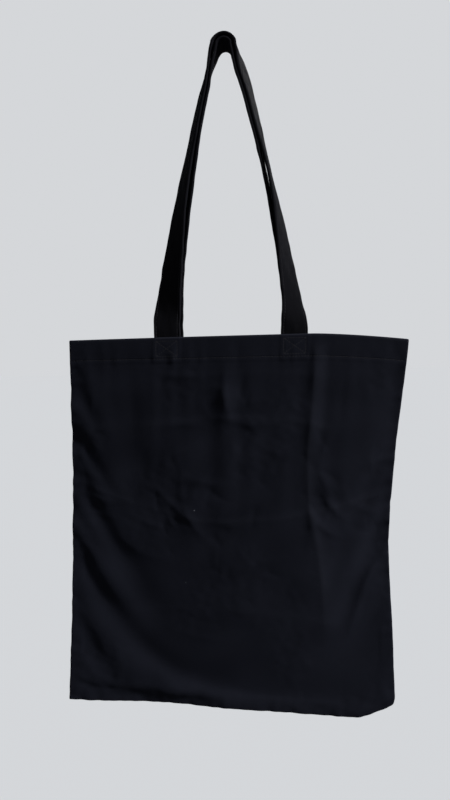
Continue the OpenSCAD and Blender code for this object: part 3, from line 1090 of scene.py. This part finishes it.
# The darker and the paler colour of each stuff
CANVAS_COLOURS = (0.0022, 0.0024, 0.0036, 1), (0.0062, 0.0067, 0.0092, 1)
STRAP_COLOURS = (0.0011, 0.0011, 0.0014, 1), (0.0028, 0.0028, 0.0035, 1)
RAW_EDGE_COLOURS = (0.0028, 0.0030, 0.0040, 1), (0.009, 0.009, 0.0105, 1)
THREAD_COLOURS = (0.0026, 0.0026, 0.0033, 1), (0.007, 0.007, 0.0085, 1)
LINT_COLOUR = (0.05, 0.053, 0.06, 1)


def scaled(colour, factor):
    return tuple(c * factor for c in colour[:3]) + (1,)


def canvas_material(name, colours, lint=False):
    m = Nodes(name)
    dark, pale = colours
    place = m.vector("flat_place")
    weave = m.weave(place, WEAVE_PITCH)
    slubs = m.noise(place, 160, 4, 0.6)
    cloudy = m.noise(place, 9, 3, 0.6)
    wear = m.math("MULTIPLY", m.value("wear"), m.range(m.noise(place, 1400, 2), 0.3, 0.75, 0.2, 0.9))
    colour = m.mix(m.range(cloudy, 0.3, 0.7, 0, 0.5), dark, scaled(dark, 1.45))
    # Painted shade: the weave's valleys are painted darker, following the same height that drives its bump
    colour = m.mix(m.range(weave, 0.15, 0.6, 0.55, 0), colour, scaled(dark, 0.4))
    colour = m.mix(wear, colour, pale)
    if lint:
        specks = m.add("TexVoronoi", feature="F1")
        m.fill(specks, Vector=place, Scale=42)
        near = m.range(specks.outputs["Distance"], 0.012, 0.03, 1, 0)
        few = m.range(m.math("FRACT", m.math("MULTIPLY", specks.outputs["Color"], 7.31)), 0.86, 0.9)
        colour = m.mix(m.math("MULTIPLY", near, few), colour, LINT_COLOUR)
    rough = m.bump(slubs, 0.12 * MM, 0.7)
    m.set(Base_Color=colour, Roughness=m.range(slubs, 0.3, 0.7, 0.78, 0.95), Specular_IOR_Level=0.005,
          Sheen_Weight=0.003, Sheen_Roughness=0.45, Sheen_Tint=(0.5, 0.58, 0.9, 1),
          Normal=m.bump(weave, 0.22 * MM, 0.8, below=rough))
    return m.material


def thread_material():
    m = Nodes("black_thread")
    place = m.vector("flat_place")
    fuzz = m.noise(place, 4000, 2)
    slant = m.math("ADD", *m.axes(place))
    ply = m.math("ABSOLUTE", m.math("SINE", m.math("MULTIPLY", slant, math.pi / THREAD_PLY)))
    # Painted shade and highlight: the colour follows the ply's height, darker in the grooves between the
    # plies and paler on their crowns
    m.set(Base_Color=m.mix(ply, *THREAD_COLOURS), Roughness=m.range(fuzz, 0.3, 0.7, 0.5, 0.7),
          Specular_IOR_Level=0.02, Sheen_Weight=0.004, Sheen_Roughness=0.4, Normal=m.bump(ply, 0.06 * MM))
    return m.material


# Each material by the name of its slot
MATERIALS = {
    "canvas": canvas_material("black_canvas", CANVAS_COLOURS, lint=True),
    "strap_canvas": canvas_material("black_strap_canvas", STRAP_COLOURS),
    "raw_edge_canvas": canvas_material("cut_canvas", RAW_EDGE_COLOURS),
    "thread": thread_material(),
}


# ---- Stage ----

# Metres, degrees and millimetres
CAMERA_PLACE = (0.0478, -0.6179, -0.3132)
CAMERA_TURN = (86.26, 1.38, 5.05)
CAMERA_LENS = 27
# Strength, direction and spread in degrees of each light
KEY_LIGHT = 18, (-0.80, 0.27, -0.54), 8
BACK_LIGHT = 8, (-0.3, -0.6, -0.74), 14
WORLD_LIGHT = 0.7
FLOOR_HALF = 60
FLOOR_BELOW = 0.75


def camera():
    data = bpy.data.cameras.new("camera")
    data.lens = CAMERA_LENS
    data.sensor_width = 36
    made = bpy.data.objects.new("camera", data)
    made.location = CAMERA_PLACE
    made.rotation_euler = [math.radians(a) for a in CAMERA_TURN]
    bpy.context.scene.collection.objects.link(made)
    bpy.context.scene.camera = made


def sun(name, strength, towards, spread):
    """A soft light that is the same everywhere, so that the floor stays even up to the horizon."""
    data = bpy.data.lights.new(name, "SUN")
    data.energy = strength
    data.angle = math.radians(spread)
    made = bpy.data.objects.new(name, data)
    made.rotation_euler = Vector(towards).to_track_quat("-Z", "Y").to_euler()
    bpy.context.scene.collection.objects.link(made)
    return strength * -Vector(towards).normalized().z


def stage():
    """A plain pale floor and soft light. The floor's colour makes it as bright as the world behind it."""
    world = bpy.data.worlds.new("studio")
    world.use_nodes = True
    background = world.node_tree.nodes["Background"]
    background.inputs["Color"].default_value = (0.95, 0.97, 1, 1)
    background.inputs["Strength"].default_value = WORLD_LIGHT
    bpy.context.scene.world = world
    bpy.context.scene.view_settings.view_transform = "Standard"
    on_floor = math.pi * WORLD_LIGHT
    on_floor += sun("key", *KEY_LIGHT)
    on_floor += sun("back_light", *BACK_LIGHT)
    pale = math.pi * WORLD_LIGHT / on_floor
    floor_z = cad_box[0].z - FLOOR_BELOW
    corners = [(x * FLOOR_HALF, y * FLOOR_HALF, floor_z) for x, y in ((-1, -1), (1, -1), (1, 1), (-1, 1))]
    floor = object_from("floor", np.array(corners), [(0, 1, 2, 3)])
    m = Nodes("floor")
    m.set(Base_Color=(0.95 * pale, 0.97 * pale, pale, 1), Roughness=1.0, Specular_IOR_Level=0.0)
    floor.data.materials.append(m.material)


# ---- Assembly ----

def add(piece, slot, side_name=None):
    """Gives a piece its material and ties it to the bag or, with a side, bakes its placement into its mesh
    instead.
    """
    piece.data.materials.append(MATERIALS[slot])
    if side_name:
        swings(piece)
    else:
        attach(piece, "bag")


camera()
stage()
# All three start from the unsettled shape
SETTLED.update([(side, settle(side)) for side in (0, FRONT, BACK)])
for name in SIDES:
    add(panel(name), "canvas")
    add(hem_thread(name), "thread")
    for hand_name in HANDS:
        add(box_thread(name, hand_name), "thread")
    add(handle(name), "strap_canvas", name)
    add(handle_thread(name), "thread", name)
for seam in ("left", "right", "bottom"):
    add(allowance(seam), "raw_edge_canvas")
    add(seam_threads(seam), "thread")
    add(overlock(seam), "thread")
